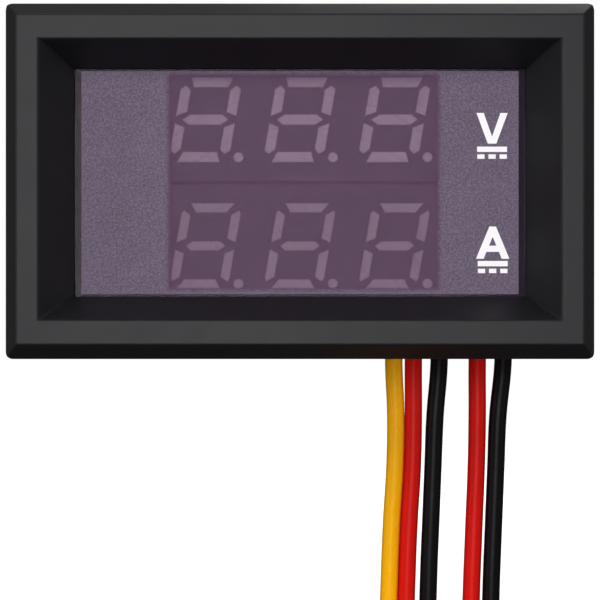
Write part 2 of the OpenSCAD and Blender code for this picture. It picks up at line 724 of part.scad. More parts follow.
// One ring of the tube round point c, square to direction d, which is never along X
function ring(c, d, r) = let (u = unit([1, 0, 0] - d[0] * d), v = cross(d, u))
    [for (k = [0 : sides - 1]) let (a = 360 * (k + 0.5) / sides) c + r * (cos(a) * u + sin(a) * v)];

// A tube swept along points, from the heading first to the heading last
module tube(points, r, first, last) {
    n = len(points);
    polyhedron([for (i = [0 : n - 1]) each ring(points[i], heading(points, i, first, last), r)],
        concat([[for (k = [0 : sides - 1]) k]],
            [for (i = [0 : n - 2], k = [0 : sides - 1]) let (a = i * sides + k,
                b = i * sides + (k + 1) % sides) each [[a, a + sides, b], [b, a + sides, b + sides]]],
            [[for (k = [sides - 1 : -1 : 0]) (n - 1) * sides + k]]));
}

// A lead from its plug to the hank, and its tail below the tie
module lead(xs) {
    last_x = xs[len(xs) - 1];
    mid_x = power_minus_x[len(power_minus_x) - 1];
    lean = tail_spread * (last_x - mid_x) / 3.4;
    tube([for (i = [0 : len(route) - 1]) [xs[i], route[i][0], route[i][1]]],
        lead_dia / 2, [0, 1, 0], [0, 0, -1]);
    tube([[last_x, run_out_y, tie_bottom], [last_x, run_out_y, (tie_bottom + tail_end) / 2],
        [last_x + lean, run_out_y, tail_end]], lead_dia / 2, [0, 0, -1], [0, 0, -1]);
}

module volt_sense_lead() color([0.93, 0.67, 0.05]) lead(volt_sense_x);
module power_plus_lead() color([0.78, 0.07, 0.05]) lead(power_plus_x);
module power_minus_lead() color([0.05, 0.05, 0.06]) lead(power_minus_x);
module current_plus_lead() color([0.78, 0.07, 0.05]) lead(current_plus_x);
module current_minus_lead() color([0.05, 0.05, 0.06]) lead(current_minus_x);

// The conductors' two ends: crimped in the contacts, and bare and tinned at the tails
module lead_conductors() color([0.82, 0.8, 0.78]) {
    starts = [for (xs = [volt_sense_x, power_plus_x, power_minus_x, current_plus_x,
        current_minus_x]) [xs[0], xs[len(xs) - 1]]];
    crimp_start = contact_front + contact_l + 0.1;
    for (x = starts) {
        translate([x[0], 0, connector_z]) along_y(crimp_start)
            cylinder(d = wire_dia, h = route[0][0] - crimp_start);
        translate([x[1] + tail_spread * (x[1] - starts[2][1]) / 3.4, run_out_y, bare_end])
            cylinder(d = wire_dia, h = tail_end - bare_end);
    }
}

hank_w = current_minus_x[len(current_minus_x) - 1] - volt_sense_x[len(volt_sense_x) - 1] + lead_dia;
hank_x = (current_minus_x[len(current_minus_x) - 1] + volt_sense_x[len(volt_sense_x) - 1]) / 2;
neck = run_in_y - run_out_y + lead_dia;

// The tied bundle's outer shape: a straight neck between two teardrop folds
module lead_hank() color([0.3, 0.12, 0.1])
    translate([hank_x, 0, 0]) across(hank_w) {
        translate([run_out_y - lead_dia / 2, tie_bottom]) square([neck, tie_top - tie_bottom]);
        hull() {
            translate([run_out_y - lead_dia / 2, tie_top - flare])
                square([run_back_y - run_out_y + lead_dia, flare]);
            translate(upper_fold) circle(fold_r + lead_dia / 2);
        }
        hull() {
            translate([run_back_y - lead_dia / 2, tie_bottom])
                square([run_in_y - run_back_y + lead_dia, flare]);
            translate(lower_fold) circle(fold_r + lead_dia / 2);
        }
    }

module hank_tie() color([0.08, 0.08, 0.09])
    translate([hank_x, (run_in_y + run_out_y) / 2, (tie_top + tie_bottom - tie_w) / 2])
        linear_extrude(tie_w) difference() {
            square([hank_w + 2 * (tie_fit + tie_t), neck + 2 * (tie_fit + tie_t)], center = true);
            square([hank_w + 2 * tie_fit, neck + 2 * tie_fit], center = true);
        }

housing();
filter_window();
legend_film();
upper_display_shell();
upper_display_guides();
upper_display_dice();
upper_display_base();
upper_display_pins();
lower_display_shell();
lower_display_guides();
lower_display_dice();
lower_display_base();
lower_display_pins();
circuit_board();
controller_body();
controller_leads();
amplifier_body();
amplifier_leads();
regulator_body();
regulator_leads();
diode_body();
diode_leads();
tantalum_capacitor();
tantalum_leads();
ceramic_capacitors();
chip_resistors();
chip_end_caps();
current_shunt();
volt_trimmer_base();
volt_trimmer_terminals();
volt_trimmer_rotor();
amp_trimmer_base();
amp_trimmer_terminals();
amp_trimmer_rotor();
power_header();
power_header_pins();
power_plug();
power_contacts();
current_header();
current_header_pins();
current_plug();
current_contacts();
volt_sense_lead();
power_plus_lead();
power_minus_lead();
current_plus_lead();
current_minus_lead();
lead_conductors();
lead_hank();
hank_tie();
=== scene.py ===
import math
import bmesh
import bpy
from mathutils import Matrix, Vector


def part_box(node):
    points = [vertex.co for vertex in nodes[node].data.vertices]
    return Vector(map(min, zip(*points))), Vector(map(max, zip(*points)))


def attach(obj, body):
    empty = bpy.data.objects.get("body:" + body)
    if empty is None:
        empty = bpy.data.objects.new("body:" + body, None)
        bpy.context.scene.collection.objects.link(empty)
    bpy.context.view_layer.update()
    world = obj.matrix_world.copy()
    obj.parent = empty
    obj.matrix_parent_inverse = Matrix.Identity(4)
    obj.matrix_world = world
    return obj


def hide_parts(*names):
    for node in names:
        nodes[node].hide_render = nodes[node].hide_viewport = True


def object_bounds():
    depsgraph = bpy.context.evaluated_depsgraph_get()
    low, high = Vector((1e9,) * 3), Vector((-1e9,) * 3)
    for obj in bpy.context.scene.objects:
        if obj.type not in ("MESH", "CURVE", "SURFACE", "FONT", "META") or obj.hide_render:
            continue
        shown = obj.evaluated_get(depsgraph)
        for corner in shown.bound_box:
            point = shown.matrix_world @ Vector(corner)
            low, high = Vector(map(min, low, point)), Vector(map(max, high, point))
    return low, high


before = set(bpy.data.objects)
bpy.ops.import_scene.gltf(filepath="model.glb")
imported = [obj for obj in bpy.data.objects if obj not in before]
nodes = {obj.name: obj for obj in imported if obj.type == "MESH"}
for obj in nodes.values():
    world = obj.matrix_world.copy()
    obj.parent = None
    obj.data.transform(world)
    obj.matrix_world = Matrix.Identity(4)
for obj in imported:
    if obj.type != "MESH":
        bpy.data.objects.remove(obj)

cadLow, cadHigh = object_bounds()
scene = bpy.context.scene
scene.view_settings.view_transform = "Standard"
print("stage: frame loaded,", len(nodes), "nodes")


# camera: straight on, a little below the meter's middle

cameraSetup = {"lens": 112.2, "place": (0.0, -0.155, -0.00968)}

cameraData = bpy.data.cameras.new("camera")
cameraData.lens = cameraSetup["lens"]
cameraData.clip_start = 0.01
camera = bpy.data.objects.new("camera", cameraData)
camera.location = cameraSetup["place"]
camera.rotation_euler = (math.radians(90), 0, 0)
scene.collection.objects.link(camera)
scene.camera = camera


# helpers for new meshes

def finishMesh(name, bm, body, material=None, smoothUnder=None):
    # the last steps that every new piece shares
    bmesh.ops.recalc_face_normals(bm, faces=bm.faces)
    mesh = bpy.data.meshes.new(name)
    bm.to_mesh(mesh)
    bm.free()
    piece = bpy.data.objects.new(name, mesh)
    scene.collection.objects.link(piece)
    if material:
        mesh.materials.append(material)
    if smoothUnder:
        mesh.polygons.foreach_set("use_smooth", [True] * len(mesh.polygons))
        mesh.set_sharp_from_angle(angle=math.radians(smoothUnder))
        even = piece.modifiers.new("even_shading", "WEIGHTED_NORMAL")
        even.keep_sharp = True
    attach(piece, body)
    return piece


def copyNode(name):
    # a merged copy of a CAD node's triangles, with its flat faces whole again
    bm = bmesh.new()
    bm.from_mesh(bpy.data.objects[name].data)
    bmesh.ops.remove_doubles(bm, verts=bm.verts, dist=0.000001)
    bmesh.ops.dissolve_limit(bm, angle_limit=math.radians(1), verts=bm.verts, edges=bm.edges)
    return bm


def sharpEdges(bm, angle, keep=None):
    return [e for e in bm.edges if len(e.link_faces) == 2
            and e.calc_face_angle() > math.radians(angle) and (keep is None or keep(e))]


def roundEdges(bm, edges, radius, segments=2):
    bmesh.ops.bevel(bm, geom=edges, offset=radius, offset_type="OFFSET", segments=segments,
                    profile=0.5, affect="EDGES", clamp_overlap=True, material=-1)


# the tie round the leads' hank

tieSetup = {"headWide": 0.0032, "headDeep": 0.0016, "headTall": 0.0026, "tongue": 0.0024,
            "tongueThick": 0.0009, "rounding": 0.00025}


def makeTie():
    # a flat nylon band with its square head and the cut end of its tongue
    s = tieSetup
    low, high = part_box("hank_tie")
    bm = copyNode("hank_tie")
    roundEdges(bm, sharpEdges(bm, 50), s["rounding"] / 2, 2)
    middleZ = (low.z + high.z) / 2
    for size, place in (
            ((s["headDeep"] * 2, s["headDeep"], s["headTall"]),
             (low.x + s["headWide"], high.y + s["headDeep"] / 2, middleZ)),
            ((s["tongueThick"], s["tongue"], s["headTall"] * 0.6),
             (low.x + s["headWide"], high.y + s["headDeep"] + s["tongue"] / 2, middleZ))):
        made = bmesh.ops.create_cube(bm, size=1)
        bmesh.ops.scale(bm, vec=size, verts=made["verts"])
        bmesh.ops.translate(bm, vec=place, verts=made["verts"])
        edges = list({e for v in made["verts"] for e in v.link_edges})
        roundEdges(bm, edges, s["rounding"], 3)
    tie = finishMesh("nylon_tie", bm, "meter", smoothUnder=40)
    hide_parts("hank_tie")
    return tie


tie = makeTie()
print("stage: tie made")


# the five leads

leadSetup = {
    "diameter": 0.0017,
    "length": 0.150,
    "foldRadius": 0.0051,
    "exitY": 0.0162,  # the plug's back face
    "foldSteps": 12,  # points round the wide part of a fold
    "turnSteps": 4,  # points where a run bends over to its fold
    "turnAngle": 81,  # how far a run turns before it meets its fold, in degrees
    "joinAngle": -6,  # where the middle run comes onto the upper fold
    "tieTop": -0.0565,
    "tieBottom": -0.0595,
    "tailEnd": -0.0665,
    "tailSpread": 0.0003,  # how far the outermost tails lean out
}
# y and z of the stations that all five share, from the plug's shoulder to the tie
leadRoute = [
    (0.0142, -0.009), (0.0197, -0.009), (0.0231, -0.0099), (0.0256, -0.0124),
    (0.0265, -0.0158), (0.0265, -0.021), (0.0265, -0.026), (0.0265, -0.031),
    (0.0265, -0.036), (0.0265, -0.041), (0.026, -0.046), (0.0252, -0.0515), (0.0244, -0.0565),
]
# x of each lead at those stations, and the slot of its insulation
leadsByName = {
    "volt_sense_lead": ("yellow_insulation", [
        0.0091, 0.0091, 0.0091, 0.0091, 0.0091, 0.0093, 0.0092, 0.0089, 0.0087, 0.0086,
        0.0088, 0.0092, 0.0096]),
    "power_plus_lead": ("red_insulation", [
        0.0111, 0.0111, 0.0111, 0.011, 0.011, 0.011, 0.0109, 0.0106, 0.0104, 0.0103,
        0.0105, 0.0109, 0.0113]),
    "power_minus_lead": ("black_insulation", [
        0.0131, 0.0132, 0.0133, 0.0134, 0.0135, 0.0131, 0.0129, 0.0127, 0.0125, 0.0124,
        0.0125, 0.0127, 0.013]),
    "current_plus_lead": ("red_insulation", [
        0.0171, 0.0171, 0.0171, 0.0172, 0.0172, 0.0172, 0.0171, 0.0169, 0.0167, 0.0165,
        0.016, 0.0153, 0.0147]),
    "current_minus_lead": ("black_insulation", [
        0.0191, 0.0193, 0.0195, 0.0196, 0.0197, 0.0192, 0.019, 0.0188, 0.0186, 0.0184,
        0.0178, 0.0171, 0.0164]),
}
# y of the hank's three runs and the middles of its two folds
hankRuns = {"in": 0.0244, "back": 0.0227, "out": 0.021}
hankFolds = {"lower": (0.0279, -0.0696), "upper": (0.0175, -0.0464)}


def arcPoints(middle, radius, startDeg, endDeg, steps):
    # points round an arc in y and z, without its first one
    turns = [math.radians(startDeg + (endDeg - startDeg) * i / steps) for i in range(1, steps + 1)]
    return [(middle[0] + radius * math.cos(a), middle[1] + radius * math.sin(a)) for a in turns]


def hankPath():
    # in through the tie, round the lower fold, back up, round the upper fold and out
    s = leadSetup
    radius = s["foldRadius"]
    lower = hankFolds["lower"]
    upper = hankFolds["upper"]
    lean = s["turnAngle"]
    path = [(hankRuns["in"], s["tieBottom"])]
    inMiddle = (hankRuns["in"] + radius, s["tieBottom"])
    path += arcPoints(inMiddle, radius, 180, 180 + lean, s["turnSteps"])
    path += arcPoints(lower, radius, lean, -180, s["foldSteps"])
    path += [(hankRuns["back"], s["tieBottom"]), (hankRuns["back"], s["tieTop"])]
    path += arcPoints(upper, radius, s["joinAngle"], lean + 180, s["foldSteps"])
    outMiddle = (hankRuns["out"] - radius, s["tieTop"])
    path += arcPoints(outMiddle, radius, lean, 0, s["turnSteps"])
    path += [(hankRuns["out"], s["tieBottom"]), (hankRuns["out"], s["tailEnd"])]
    return path


def curveMesh(curve):
    # the curve's tube as a closed mesh with smooth sides
    carrier = bpy.data.objects.new(curve.name, curve)
    scene.collection.objects.link(carrier)
    depsgraph = bpy.context.evaluated_depsgraph_get()
    mesh = bpy.data.meshes.new_from_object(carrier.evaluated_get(depsgraph))
    bpy.data.objects.remove(carrier)
    mesh.materials.clear()
    bm = bmesh.new()
    bm.from_mesh(mesh)
    bmesh.ops.remove_doubles(bm, verts=bm.verts, dist=0.00001)
    bmesh.ops.recalc_face_normals(bm, faces=bm.faces)
    bm.to_mesh(mesh)
    bm.free()
    mesh.polygons.foreach_set("use_smooth", [True] * len(mesh.polygons))
    mesh.set_sharp_from_angle(angle=math.radians(50))
    return mesh


def makeLead(name, xs):
    s = leadSetup
    tail = hankPath()
    middleX = leadsByName["power_minus_lead"][1][-1]
    outerX = leadsByName["current_minus_lead"][1][-1]
    spread = s["tailSpread"] * (xs[-1] - middleX) / (outerX - middleX)
    points = [(x, y, z) for x, (y, z) in zip(xs, leadRoute)]
    points += [(xs[-1], y, z) for y, z in tail[:-1]]
    points += [(xs[-1] + spread, tail[-1][0], tail[-1][1])]
    curve = bpy.data.curves.new(name + "_cord", "CURVE")
    curve.dimensions = "3D"
    curve.bevel_depth = s["diameter"] / 2
    curve.bevel_resolution = 5
    curve.resolution_u = 6
    curve.use_fill_caps = True
    spline = curve.splines.new("BEZIER")
    spline.bezier_points.add(len(points) - 1)
    for point, place in zip(spline.bezier_points, points):
        point.co = place
        point.handle_left_type = "AUTO"
        point.handle_right_type = "AUTO"
    lead = bpy.data.objects.new(name + "_cord", curveMesh(curve))
    scene.collection.objects.link(lead)
    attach(lead, "meter")
    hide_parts(name, "lead_hank")
    return lead


leads = {name: makeLead(name, xs) for name, (slotName, xs) in leadsByName.items()}
print("stage: leads made")


# shader helpers

def feed(tree, socket, value):
    # link one socket to another, or set it to a plain value
    if isinstance(value, bpy.types.NodeSocket):
        tree.links.new(value, socket)
    else:
        socket.default_value = value


def addNode(tree, kind, inputs=None, **settings):
    node = tree.nodes.new("ShaderNode" + kind)
    for name, value in settings.items():
        setattr(node, name, value)
    for key, value in (inputs or {}).items():
        feed(tree, node.inputs[key], value)
    return node


def useGrain(tree, shader, grain):
    # the grain group's colour, roughness and normal into the shader
    feed(tree, shader["Base Color"], grain["Colour"])
    feed(tree, shader["Roughness"], grain["Roughness"])
    feed(tree, shader["Normal"], grain["Normal"])


def mathNode(tree, operation, a, b=0.0, clamp=False):
    return addNode(tree, "Math", {0: a, 1: b}, operation=operation, use_clamp=clamp).outputs[0]


def mixColour(tree, factor, a, b):
    node = addNode(tree, "Mix", {0: factor, 6: a, 7: b}, data_type="RGBA")
    return node.outputs[2]


def ramp(tree, value, fromLow, fromHigh, toLow=0.0, toHigh=1.0, shape="SMOOTHSTEP"):
    node = addNode(tree, "MapRange", {0: value, 1: fromLow, 2: fromHigh, 3: toLow, 4: toHigh},
                   interpolation_type=shape)
    return node.outputs[0]


def objectPlace(tree):
    return addNode(tree, "TexCoord").outputs["Object"]


def noise(tree, place, scale, detail):
    return addNode(tree, "TexNoise", {"Vector": place, "Scale": scale, "Detail": detail}).outputs[0]


def nearEdge(tree, radius, samples):
    # 1 on flat faces, less where an edge would be rounded
    rounded = addNode(tree, "Bevel", {"Radius": radius}, samples=samples).outputs[0]
    flat = addNode(tree, "NewGeometry").outputs["Normal"]
    return addNode(tree, "VectorMath", {0: rounded, 1: flat}, operation="DOT_PRODUCT").outputs[1]


def makeGroup(name, inputs, outputs):
    group = bpy.data.node_groups.new(name, "ShaderNodeTree")
    for label, kind, value in inputs:
        socket = group.interface.new_socket(
            label, in_out="INPUT", socket_type="NodeSocket" + kind)
        socket.default_value = value
    for label, kind in outputs:
        group.interface.new_socket(label, in_out="OUTPUT", socket_type="NodeSocket" + kind)
    into = group.nodes.new("NodeGroupInput").outputs
    out = group.nodes.new("NodeGroupOutput").inputs
    return group, into, out


grainSetup = {"patchSize": 14.0, "fineDetail": 3.0, "patchDetail": 2.0, "smoothest": 0.04}
wearAndSheenSetup = {
    "radius": 0.0001, "flat": 0.995, "wornAndLit": 0.88, "bare": 0.35, "whole": 0.7, "detail": 4.0}


def makeGrainGroup():
    # fine grain, broad mottling and a matching bump, all on object coordinates
    s = grainSetup
    tree, into, out = makeGroup("surface grain", [
        ("Colour", "Color", (0.5, 0.5, 0.5, 1)), ("Mottle", "Float", 0.1),
        ("Roughness", "Float", 0.5), ("Rough Change", "Float", 0.1),
        ("Grain", "Float", 0.0002), ("Depth", "Float", 0.000002), ("Patches", "Float", 0.5),
        ("Stretch", "Vector", (1, 1, 1))], [
        ("Colour", "Color"), ("Roughness", "Float"), ("Normal", "Vector"), ("Height", "Float")])
    place = addNode(tree, "VectorMath", {0: objectPlace(tree), 1: into["Stretch"]},
                    operation="MULTIPLY").outputs[0]
    fineScale = mathNode(tree, "DIVIDE", 1.0, into["Grain"])
    broadScale = mathNode(tree, "DIVIDE", fineScale, s["patchSize"])
    fine = noise(tree, place, fineScale, s["fineDetail"])
    broad = noise(tree, place, broadScale, s["patchDetail"])
    both = addNode(tree, "Mix", {0: into["Patches"], 2: fine, 3: broad}, data_type="FLOAT")
    change = mathNode(tree, "SUBTRACT", both.outputs[0], 0.5)
    shade = mathNode(tree, "MULTIPLY_ADD", change, into["Mottle"])
    shade.node.inputs[2].default_value = 1.0
    coloured = addNode(tree, "HueSaturation", {"Value": shade, "Color": into["Colour"]})
    feed(tree, out["Colour"], coloured.outputs[0])
    rough = mathNode(tree, "MULTIPLY_ADD", change, into["Rough Change"])
    feed(tree, rough.node.inputs[2], into["Roughness"])
    feed(tree, out["Roughness"], mathNode(tree, "MAXIMUM", rough, s["smoothest"], clamp=True))
    bump = addNode(tree, "Bump", {"Strength": 1.0, "Distance": into["Depth"], "Height": fine})
    feed(tree, out["Normal"], bump.outputs[0])
    feed(tree, out["Height"], fine)
    return tree


def makeWearAndSheenGroup():
    # where an edge shows a little paler: a painted highlight along the edges with a little wear,
    # near edges, broken up by noise
    s = wearAndSheenSetup
    tree, into, out = makeGroup("edge wear", [
        ("Radius", "Float", 0.0002), ("Break Up", "Float", 0.0004)], [("Mask", "Float")])
    edge = ramp(tree, nearEdge(tree, into["Radius"], 4), s["flat"], s["wornAndLit"])
    scale = mathNode(tree, "DIVIDE", 1.0, into["Break Up"])
    patches = noise(tree, objectPlace(tree), scale, s["detail"])
    broken = ramp(tree, patches, s["bare"], s["whole"])
    feed(tree, out["Mask"], mathNode(tree, "MULTIPLY", edge, broken, clamp=True))
    return tree


grainGroup = makeGrainGroup()
wearAndSheenGroup = makeWearAndSheenGroup()


def addGrain(tree, colour, look):
    group = addNode(tree, "Group", node_tree=grainGroup)
    for label, key in (("Mottle", "mottle"), ("Roughness", "rough"),
                       ("Rough Change", "roughChange"), ("Grain", "grain"), ("Depth", "depth"),
                       ("Stretch", "stretch"), ("Patches", "patches")):
        if key in look:
            group.inputs[label].default_value = look[key]
    feed(tree, group.inputs["Colour"], colour)
    return group.outputs


def startMaterial(name, look):
    # a material with its shader's plain values set: metal, gloss, coat and depth
    material = bpy.data.materials.new(name)
    material.use_nodes = True
    tree = material.node_tree
    shader = tree.nodes["Principled BSDF"].inputs
    for label, key in (("Metallic", "metal"), ("Specular IOR Level", "gloss"),
                       ("Coat Weight", "coat"), ("Subsurface Weight", "deep"),
                       ("Subsurface Scale", "deepScale")):
        if key in look:
            shader[label].default_value = look[key]
    return material, tree, shader


def opaque(colour):
    return (*colour, 1.0)


def makeFinish(name, look):
    material, tree, shader = startMaterial(name, look)
    colour = opaque(look["colour"])
    # edges painted paler: a painted highlight, partly wear too
    if "wearAndSheen" in look:
        mask = addNode(tree, "Group", {"Radius": wearAndSheenSetup["radius"]},
                       node_tree=wearAndSheenGroup).outputs[0]
        sheenShare = mathNode(tree, "MULTIPLY", mask, look["wearAndSheen"])
        colour = mixColour(tree, sheenShare, colour, opaque(look["wearAndSheenColour"]))
    grain = addGrain(tree, colour, look)
    useGrain(tree, shader, grain)
    return material


# the look of each material slot that needs only colour, grain and paler edges, which are a painted
# highlight with a little wear
finishes = {
    "housing_plastic": {
        "colour": (0.0125, 0.0118, 0.0140), "mottle": 0.7, "rough": 0.44, "roughChange": 0.16,
        "grain": 0.00016, "depth": 0.0000045, "gloss": 0.16,
        # paler edges: painted highlight with a little wear
        "wearAndSheen": 0.35, "wearAndSheenColour": (0.05, 0.046, 0.052)},
    "display_shell": {
        "colour": (0.020, 0.011, 0.020), "mottle": 0.3, "rough": 0.5, "grain": 0.00015,
        "depth": 0.000003, "gloss": 0.35},
    "led_die": {
        "colour": (0.55, 0.5, 0.36), "rough": 0.35, "grain": 0.00006, "depth": 0.000001},
    "display_base": {
        "colour": (0.46, 0.42, 0.28), "mottle": 0.5, "rough": 0.55, "grain": 0.0003,
        "depth": 0.000004, "stretch": (1, 1, 3)},
    "tinned_metal": {
        "colour": (0.66, 0.66, 0.64), "metal": 1.0, "mottle": 0.5, "rough": 0.3,
        "roughChange": 0.35, "grain": 0.0002, "depth": 0.000006},
    "package_plastic": {
        "colour": (0.028, 0.029, 0.031), "mottle": 0.5, "rough": 0.62, "roughChange": 0.2,
        # paler edges: painted highlight with a little wear
        "grain": 0.00006, "depth": 0.000004, "wearAndSheen": 0.5, "wearAndSheenColour": (0.09, 0.09, 0.095)},
    "tantalum_resin": {
        "colour": (0.62, 0.36, 0.07), "mottle": 0.3, "rough": 0.42, "grain": 0.00012,
        "depth": 0.000003, "coat": 0.2},
    "ceramic_chip": {
        "colour": (0.38, 0.27, 0.17), "mottle": 0.5, "rough": 0.5, "grain": 0.00005,
        "depth": 0.000002},
    "resistor_chip": {
        "colour": (0.030, 0.032, 0.036), "mottle": 0.4, "rough": 0.3, "grain": 0.00008,
        "depth": 0.000002, "coat": 0.4},
    "shunt_wire": {
        "colour": (0.60, 0.44, 0.33), "metal": 1.0, "mottle": 0.6, "rough": 0.36,
        "roughChange": 0.4, "grain": 0.0004, "depth": 0.000006},
    "trimmer_base": {
        "colour": (0.02, 0.10, 0.36), "mottle": 0.3, "rough": 0.4, "grain": 0.00012,
        "depth": 0.000003, "gloss": 0.5},
    "trimmer_rotor": {
        "colour": (0.74, 0.72, 0.66), "mottle": 0.25, "rough": 0.42, "grain": 0.0001,
        "depth": 0.000003},
    "connector_plastic": {
        "colour": (0.78, 0.75, 0.66), "mottle": 0.16, "rough": 0.42, "roughChange": 0.12,
        "grain": 0.0002, "depth": 0.000003, "deep": 0.25, "deepScale": 0.0006,
        # paler edges: painted highlight with a little wear
        "wearAndSheen": 0.5, "wearAndSheenColour": (0.9, 0.89, 0.84)},
    "contact_metal": {
        "colour": (0.72, 0.58, 0.34), "metal": 1.0, "mottle": 0.4, "rough": 0.28,
        "roughChange": 0.3, "grain": 0.00015, "depth": 0.000003},
    "tie_nylon": {
        "colour": (0.62, 0.61, 0.57), "mottle": 0.2, "rough": 0.38, "grain": 0.00012,
        "depth": 0.000003, "deep": 0.4, "deepScale": 0.001},
}
vinylColours = {
    "yellow_insulation": (1.0, 0.47, 0.002),
    "red_insulation": (0.68, 0.006, 0.003),
    "black_insulation": (0.003, 0.003, 0.004),
}
vinylLook = {
    "mottle": 0.18, "rough": 0.42, "roughChange": 0.2, "grain": 0.00035, "depth": 0.000005,
    "stretch": (1, 1, 0.3), "gloss": 0.12,
}

materials = {name: makeFinish(name + "_finish", look) for name, look in finishes.items()}
for name, colour in vinylColours.items():
    materials[name] = makeFinish(name + "_finish", {**vinylLook, "colour": colour})
materials["hank_vinyl"] = materials["black_insulation"]
print("stage: plain finishes made,", len(materials))


# housing: its moulded edges rounded

housingSetup = {
    "frontRadius": 0.00014,  # edges of the ring, its bevels and the sloped frame
    "frontBack": 0.0001,  # y up to which an edge belongs to the front
    "throat": -0.0020,  # y past which the window's opening keeps its edges sharp
    "frontAngle": 12,  # smallest turn between two faces that is rounded, in degrees
    "bodyRadius": 0.00012,
    "bodyFront": 0.0005,  # y past which an edge belongs to the body behind the panel
    "bodyAngle": 50,
    "shortEdge": 0.0008,  # shorter edges than this stay sharp
}


def inThroat(edge):
    # true for the edges round the window, deep in the sloped frame
    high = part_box("filter_window")[1]
    return all(v.co.y > housingSetup["throat"] and abs(v.co.x) < high.x and abs(v.co.z) < high.z
               for v in edge.verts)


def makeHousing():
    s = housingSetup
    bm = copyNode("housing")
    front = sharpEdges(bm, s["frontAngle"],
                       lambda e: max(v.co.y for v in e.verts) < s["frontBack"]
                       and not inThroat(e))
    roundEdges(bm, front, s["frontRadius"], 4)
    back = sharpEdges(bm, s["bodyAngle"],
                      lambda e: min(v.co.y for v in e.verts) > s["bodyFront"]
                      and e.calc_length() > s["shortEdge"])
    roundEdges(bm, back, s["bodyRadius"], 2)
    piece = finishMesh("moulded_housing", bm, "meter",
                       materials["housing_plastic"], smoothUnder=40)
    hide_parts("housing")
    return piece


housing = makeHousing()
print("stage: housing rounded,", len(housing.data.polygons), "faces")


# window, printed film and the displays behind it

speckleRange = (0.2, 0.8, 0.92, 1.08)  # grain from and to, and how it changes the opacity
displayArea = {"middle": (0.0003, 0.00005), "half": (0.01118, 0.00892), "softEdge": 0.0003}
filmSetup = {
    "overDisplay": (0.22, 0.112, 0.215), "displayOpacity": 0.34,
    "beside": (0.142, 0.108, 0.160), "besideOpacity": 0.95,
    "rough": 0.62, "grain": 0.00016, "mottle": 1.7, "patches": 0.12, "depth": 0.000012,
    "gloss": 0.2,
}
windowSetup = {
    "colour": (0.020, 0.012, 0.022), "displayOpacity": 0.1, "besideOpacity": 0.9,
    "rough": 0.1, "roughChange": 0.06, "mottle": 0.2, "grain": 0.0006, "depth": 0.0000004,
    "gloss": 0.03,
}
guideSetup = {
    "upper": (0.86, 0.66, 0.84), "lower": (0.66, 0.50, 0.64),
    "edge": (0.25, 0.16, 0.24), "edgeWidth": 0.00016, "rimEnd": 0.8,
    "rough": 0.5, "roughChange": 0.1, "grain": 0.00012, "mottle": 0.3, "depth": 0.000002,
    "gloss": 0.3,
}


def makeAreaGroup():
    # 1 in front of the two displays, 0 round them
    s = displayArea
    tree, into, out = makeGroup("display area", [], [("Mask", "Float")])
    axes = addNode(tree, "SeparateXYZ", {0: objectPlace(tree)}).outputs
    masks = []
    for axis, middle, half in zip((0, 2), s["middle"], s["half"]):
        away = mathNode(tree, "ABSOLUTE", mathNode(tree, "SUBTRACT", axes[axis], middle))
        masks.append(ramp(tree, away, half + s["softEdge"], half - s["softEdge"]))
    feed(tree, out["Mask"], mathNode(tree, "MULTIPLY", masks[0], masks[1]))
    return tree


def makeRimGroup():
    # 1 at a light guide's edges, 0 on its face
    tree, into, out = makeGroup("guide rim", [("Radius", "Float", 0.0002)], [("Mask", "Float")])
    facing = nearEdge(tree, into["Radius"], 6)
    feed(tree, out["Mask"], ramp(tree, facing, 1.0, guideSetup["rimEnd"]))
    return tree


areaGroup = makeAreaGroup()
rimGroup = makeRimGroup()


def makeSheetMaterial(name, s, overDisplay, beside):
    # clear in front of the displays and nearly opaque round them
    material, tree, shader = startMaterial(name, s)
    inside = addNode(tree, "Group", node_tree=areaGroup).outputs[0]
    grain = addGrain(tree, mixColour(tree, inside, opaque(beside), opaque(overDisplay)), s)
    useGrain(tree, shader, grain)
    opacity = ramp(tree, inside, 0, 1, s["besideOpacity"], s["displayOpacity"], "LINEAR")
    speckle = ramp(tree, grain["Height"], *speckleRange, shape="LINEAR")
    feed(tree, shader["Alpha"], mathNode(tree, "MULTIPLY", opacity, speckle, clamp=True))
    return material


def makeGuideMaterial(name, colour):
    # cast light guides, dimmer towards their edges
    s = guideSetup
    material, tree, shader = startMaterial(name, s)
    rim = addNode(tree, "Group", {"Radius": s["edgeWidth"]}, node_tree=rimGroup).outputs[0]
    grain = addGrain(tree, mixColour(tree, rim, opaque(colour), opaque(s["edge"])), s)
    useGrain(tree, shader, grain)
    return material


materials["legend_film"] = makeSheetMaterial(
    "printed_film", filmSetup, filmSetup["overDisplay"], filmSetup["beside"])
materials["smoked_window"] = makeSheetMaterial(
    "smoked_plate", windowSetup, windowSetup["colour"], windowSetup["colour"])
upperGuides = makeGuideMaterial("upper_guides", guideSetup["upper"])
lowerGuides = makeGuideMaterial("lower_guides", guideSetup["lower"])
print("stage: window, film and guides made")


# unit signs printed on the film

signSetup = {
    "face": -0.00079,  # y of the print's front
    "ink": 0.00002,
    "voltMiddle": (0.01584, 0.00448), "voltSize": (0.00258, 0.00253),
    "ampMiddle": (0.01589, -0.00495), "ampSize": (0.00276, 0.00266),
    "stroke": 0.00060, "tip": 0.00070,
    "voltNotch": 0.85,  # how deep the letter's notch goes, as a share of its tip
    "ampTip": 0.78,  # the other letter's apex, as a share of the tip
    "ampBar": (0.19, 0.57),  # its bar's top and bottom, as shares of half its height
    "ampHole": 0.36,  # top of its hole, as a share of half its height
    "slant": (1.04, 1.07),  # how much wider a slanted stroke is cut at the bar and the foot
    "barDrop": 0.00173, "barHeight": 0.00044, "barWidth": 0.00247,
    "dashDrop": 0.00233, "dashHeight": 0.00037, "dashWidth": 0.00060, "dashStep": 0.00092,
}
signLook = {"colour": (1.0, 0.965, 1.0), "mottle": 0.06, "rough": 0.55, "grain": 0.0001,
            "depth": 0.000002, "gloss": 0.3}


